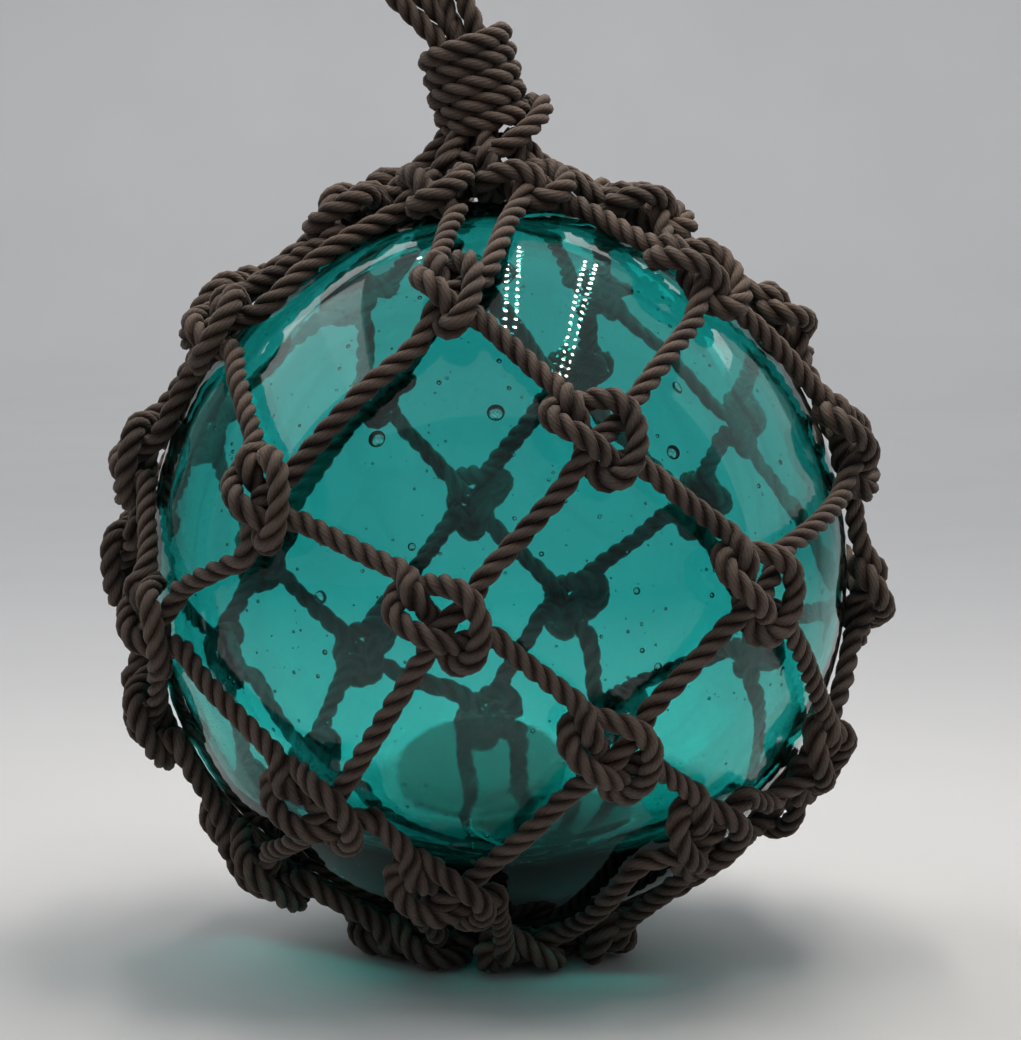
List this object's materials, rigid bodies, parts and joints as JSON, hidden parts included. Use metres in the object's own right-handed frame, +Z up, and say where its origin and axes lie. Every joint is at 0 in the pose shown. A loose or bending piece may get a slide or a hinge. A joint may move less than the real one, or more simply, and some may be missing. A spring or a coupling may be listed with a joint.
{
  "type": "glass fishing float",
  "caption": "Teal blown glass float ball held in a knotted rope net, with a served neck and a rope loop on top for hanging it up as decoration.",
  "frame": {"origin": "on the floor, at the middle of the flat underside of the gather knot under the ball", "axes": "+Z up along the ball's axis to the hanging loop, the front of the picture faces -Y, +X to the right"},
  "size_m": [0.2492, 0.2481, 0.3648],
  "materials": {
    "teal_glass": "clear teal glass with seed bubbles",
    "net_rope": "matt brown three-strand laid rope"
  },
  "bodies": {
    "root": {"glass_ball": "teal_glass", "tied_cord_1": "net_rope", "tied_cord_2": "net_rope", "tied_cord_3": "net_rope", "tied_cord_4": "net_rope", "tied_cord_5": "net_rope", "tied_cord_6": "net_rope", "tied_cord_7": "net_rope", "tied_cord_8": "net_rope", "straight_cord_1": "net_rope", "straight_cord_2": "net_rope", "straight_cord_3": "net_rope", "straight_cord_4": "net_rope", "straight_cord_5": "net_rope", "straight_cord_6": "net_rope", "straight_cord_7": "net_rope", "straight_cord_8": "net_rope", "gather_knot": "net_rope", "rope_serving": "net_rope", "hanging_loop": "net_rope"}
  },
  "joints": []
}
